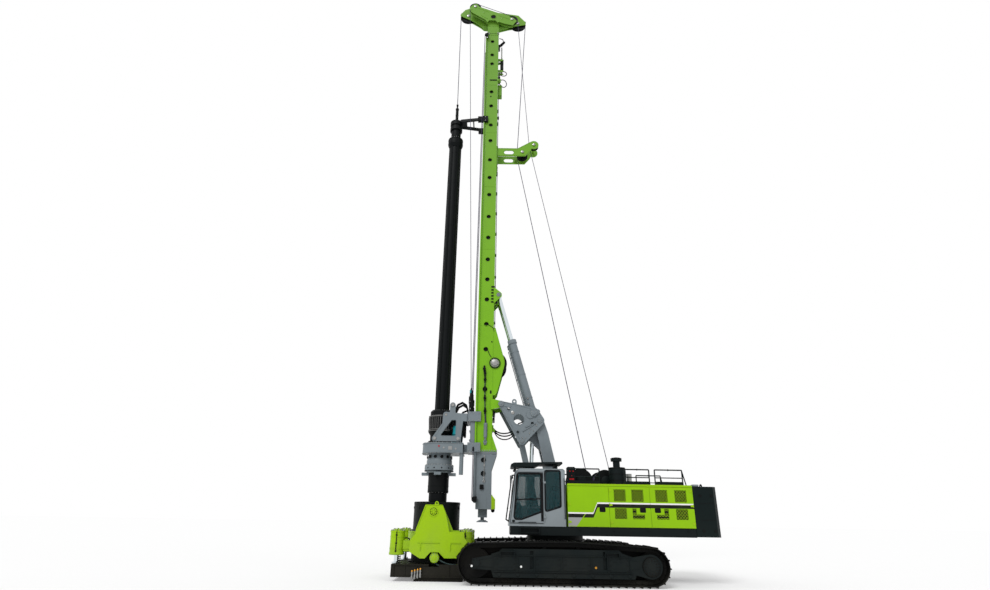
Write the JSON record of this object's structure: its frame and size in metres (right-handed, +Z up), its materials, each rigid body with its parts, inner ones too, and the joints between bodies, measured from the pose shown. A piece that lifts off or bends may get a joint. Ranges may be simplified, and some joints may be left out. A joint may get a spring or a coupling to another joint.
{
  "type": "rotary piling rig",
  "caption": "Crawler drilling rig with telescopic kelly bar, box mast on a parallel-linkage boom, cab, winches and a front casing oscillator.",
  "frame": {"origin": "middle of the footprint box on the ground under the tracks", "axes": "+Z up, the mast stands towards -X, the cab is on the -Y side"},
  "size_m": [10.082, 4.5, 24.581],
  "materials": {
    "lime_paint": "gloss paint",
    "mast_lime": "gloss paint",
    "grey_paint": "satin paint",
    "cab_grey": "gloss paint",
    "dark_paint": "satin paint",
    "track_black": "matt paint",
    "kelly_black": "matt paint",
    "bare_steel": "worn steel",
    "chrome": "chrome",
    "teal_paint": "gloss paint",
    "counterweight_dark": "satin paint",
    "interior_dark": "matt",
    "glass": "clear"
  },
  "bodies": {
    "undercarriage": {"car_body": "dark_paint", "track_frame_left": "dark_paint", "track_frame_right": "dark_paint", "track_left": "track_black", "track_right": "track_black", "track_rollers_left": "track_black", "track_rollers_right": "track_black", "oscillator_base": "dark_paint", "lift_rods": "chrome"},
    "oscillator_lift": {"lift_cylinders": "lime_paint", "lift_frame": "lime_paint"},
    "oscillator_collar": {"clamp_collar": "lime_paint", "drill_casing": "bare_steel"},
    "upper_structure": {"slew_ring": "dark_paint", "upper_frame": "dark_paint", "cab_shell": "cab_grey", "cab_visor": "dark_paint", "cab_interior": "interior_dark", "engine_block": "dark_paint", "hood_shell": "lime_paint", "counterweight": "counterweight_dark", "winch_frames": "dark_paint", "handrails": "dark_paint", "air_cleaner": "dark_paint"},
    "cab_door": {"cab_door": "cab_grey", "door_glass": "glass"},
    "main_winch": {"main_winch_drum": "dark_paint"},
    "auxiliary_winch": {"auxiliary_winch_drum": "dark_paint"},
    "boom": {"boom": "grey_paint"},
    "boom_link": {"boom_link": "grey_paint"},
    "luff_barrel": {"luff_cylinder_barrel": "grey_paint"},
    "luff_rod": {"luff_cylinder_rod": "chrome"},
    "cradle": {"mast_cradle": "grey_paint", "mast_hoses": "track_black"},
    "mast_barrels": {"mast_cylinder_barrels": "grey_paint"},
    "mast_rods": {"mast_cylinder_rods": "chrome"},
    "mast": {"mast_lower": "grey_paint", "mast_main": "mast_lime", "crown": "mast_lime", "rope_deflector": "mast_lime"},
    "front_sheave": {"front_sheave": "bare_steel"},
    "rear_sheave": {"rear_sheave": "bare_steel"},
    "auxiliary_front_sheave": {"auxiliary_front_sheave": "bare_steel"},
    "auxiliary_rear_sheave": {"auxiliary_rear_sheave": "bare_steel"},
    "auxiliary_deflector_sheave": {"auxiliary_deflector_sheave": "bare_steel"},
    "deflector_sheave": {"deflector_sheave": "bare_steel"},
    "crowd_winch": {"crowd_winch_drum": "grey_paint"},
    "rotary_drive": {"drive_carriage": "grey_paint", "drive_gearbox": "grey_paint", "drive_motors": "teal_paint", "hook_block": "bare_steel"},
    "drive_sleeve": {"drive_sleeve": "kelly_black"},
    "kelly_guide": {"kelly_guide": "kelly_black"},
    "kelly": {"kelly_bar": "kelly_black"},
    "hood_door_left_1": {"hood_door_left_1": "lime_paint"},
    "hood_door_right_1": {"hood_door_right_1": "lime_paint"},
    "hood_door_left_2": {"hood_door_left_2": "lime_paint"},
    "hood_door_right_2": {"hood_door_right_2": "lime_paint"},
    "hood_door_left_3": {"hood_door_left_3": "lime_paint"},
    "hood_door_right_3": {"hood_door_right_3": "lime_paint"}
  },
  "joints": [
    {"name": "slew", "type": "hinge", "parent": "undercarriage", "child": "upper_structure", "pos_m": [0.151, 0, 1.31], "axis": [0, 0, 1], "range_deg": [-120, 120]},
    {"name": "oscillator_lift", "type": "slide", "parent": "undercarriage", "child": "oscillator_lift", "axis": [0, 0, 1], "range_m": [-0.1, 0.45]},
    {"name": "casing_oscillation", "type": "hinge", "parent": "oscillator_lift", "child": "oscillator_collar", "pos_m": [-3.719, 0, 1.1], "axis": [0, 0, 1], "range_deg": [-12.5, 12.5]},
    {"name": "boom_luff", "type": "hinge", "parent": "upper_structure", "child": "boom", "pos_m": [0.251, 0, 2.4], "axis": [0, 1, 0], "range_deg": [-7, 10]},
    {"name": "cradle_level", "type": "hinge", "parent": "boom", "child": "cradle", "pos_m": [-0.319, 0, 4.88], "axis": [0, 1, 0], "range_deg": [-10.5, 7.5]},
    {"name": "link_swing", "type": "hinge", "parent": "upper_structure", "child": "boom_link", "pos_m": [-0.359, 0, 1.708], "axis": [0, 1, 0], "range_deg": [-7.5, 10.5]},
    {"name": "luff_barrel_swing", "type": "hinge", "parent": "upper_structure", "child": "luff_barrel", "pos_m": [-0.679, 0, 1.72], "axis": [0, 1, 0], "range_deg": [-5.32, 7.47]},
    {"name": "luff_rod_slide", "type": "slide", "parent": "luff_barrel", "child": "luff_rod", "axis": [0.0497, 0, 0.9988], "range_m": [-0.11283, 0.15904]},
    {"name": "mast_tilt", "type": "hinge", "parent": "cradle", "child": "mast", "pos_m": [-1.649, 0, 5.43], "axis": [0, 1, 0], "range_deg": [-5, 5], "deforming": ["mast_hoses"]},
    {"name": "mast_barrel_swing", "type": "hinge", "parent": "cradle", "child": "mast_barrels", "pos_m": [-0.532, 0, 5.12], "axis": [0, 1, 0], "range_deg": [-4.64, 4.64]},
    {"name": "mast_rod_slide", "type": "slide", "parent": "mast_barrels", "child": "mast_rods", "axis": [-0.272, 0, 0.9623], "range_m": [-0.0914, 0.0914]},
    {"name": "crowd", "type": "slide", "parent": "mast", "child": "rotary_drive", "axis": [0, 0, 1], "range_m": [-0.75, 5]},
    {"name": "kelly_hoist", "type": "slide", "parent": "mast", "child": "kelly_guide", "axis": [0, 0, 1], "range_m": [-2.1, 0.4]},
    {"name": "kelly_spin", "type": "hinge", "parent": "kelly_guide", "child": "kelly", "pos_m": [-3.719, 0, 10], "axis": [0, 0, 1], "continuous": true},
    {"name": "sleeve_spin", "type": "hinge", "parent": "rotary_drive", "child": "drive_sleeve", "pos_m": [-3.719, 0, 4], "axis": [0, 0, 1], "continuous": true},
    {"name": "main_winch_spin", "type": "hinge", "parent": "upper_structure", "child": "main_winch", "pos_m": [1.001, 0, 2.95], "axis": [0, 1, 0], "continuous": true},
    {"name": "auxiliary_winch_spin", "type": "hinge", "parent": "upper_structure", "child": "auxiliary_winch", "pos_m": [1.801, 0, 2.95], "axis": [0, 1, 0], "continuous": true},
    {"name": "front_sheave_spin", "type": "hinge", "parent": "mast", "child": "front_sheave", "pos_m": [-3.399, 0, 24.1], "axis": [0, 1, 0], "continuous": true},
    {"name": "rear_sheave_spin", "type": "hinge", "parent": "mast", "child": "rear_sheave", "pos_m": [-1.034, 0, 23.66], "axis": [0, 1, 0], "continuous": true},
    {"name": "auxiliary_front_sheave_spin", "type": "hinge", "parent": "mast", "child": "auxiliary_front_sheave", "pos_m": [-3.061, -0.4, 24.27], "axis": [0, 1, 0], "continuous": true},
    {"name": "auxiliary_rear_sheave_spin", "type": "hinge", "parent": "mast", "child": "auxiliary_rear_sheave", "pos_m": [-1.324, -0.4, 23.494], "axis": [0, 1, 0], "continuous": true},
    {"name": "deflector_sheave_spin", "type": "hinge", "parent": "mast", "child": "deflector_sheave", "pos_m": [-0.86, 0, 16.101], "axis": [0, 1, 0], "continuous": true},
    {"name": "auxiliary_deflector_sheave_spin", "type": "hinge", "parent": "mast", "child": "auxiliary_deflector_sheave", "pos_m": [-0.374, -0.17, 16.48], "axis": [0, 1, 0], "continuous": true},
    {"name": "crowd_winch_spin", "type": "hinge", "parent": "mast", "child": "crowd_winch", "pos_m": [-1.884, 0, 6.9], "axis": [0, 1, 0], "continuous": true},
    {"name": "cab_door_hinge", "type": "hinge", "parent": "upper_structure", "child": "cab_door", "pos_m": [-0.316, -1.52, 2.5], "axis": [0, 0, 1], "range_deg": [0, 85]},
    {"name": "hood_door_left_1_hinge", "type": "hinge", "parent": "upper_structure", "child": "hood_door_left_1", "pos_m": [0.415, -1.508, 2.2], "axis": [0, 0, -1], "range_deg": [0, 90]},
    {"name": "hood_door_left_2_hinge", "type": "hinge", "parent": "upper_structure", "child": "hood_door_left_2", "pos_m": [1.685, -1.508, 2.2], "axis": [0, 0, -1], "range_deg": [0, 90]},
    {"name": "hood_door_left_3_hinge", "type": "hinge", "parent": "upper_structure", "child": "hood_door_left_3", "pos_m": [4.277, -1.508, 2.2], "axis": [0, 0, 1], "range_deg": [0, 90]},
    {"name": "hood_door_right_1_hinge", "type": "hinge", "parent": "upper_structure", "child": "hood_door_right_1", "pos_m": [0.415, 1.508, 2.2], "axis": [0, 0, -1], "range_deg": [-90, 0]},
    {"name": "hood_door_right_2_hinge", "type": "hinge", "parent": "upper_structure", "child": "hood_door_right_2", "pos_m": [1.685, 1.508, 2.2], "axis": [0, 0, -1], "range_deg": [-90, 0]},
    {"name": "hood_door_right_3_hinge", "type": "hinge", "parent": "upper_structure", "child": "hood_door_right_3", "pos_m": [4.277, 1.508, 2.2], "axis": [0, 0, 1], "range_deg": [-90, 0]}
  ],
  "couplings": [
    {"joint": "cradle_level", "follows": "boom_luff", "ratio": -1},
    {"joint": "link_swing", "follows": "boom_luff", "ratio": 1},
    {"joint": "luff_barrel_swing", "follows": "boom_luff", "ratio": 0.7174},
    {"joint": "luff_rod_slide", "follows": "boom_luff", "m_per_rad": 0.88261},
    {"joint": "mast_barrel_swing", "follows": "mast_tilt", "ratio": 0.86882},
    {"joint": "mast_rod_slide", "follows": "mast_tilt", "m_per_rad": -0.99006},
    {"joint": "sleeve_spin", "follows": "kelly_spin", "ratio": 1}
  ]
}
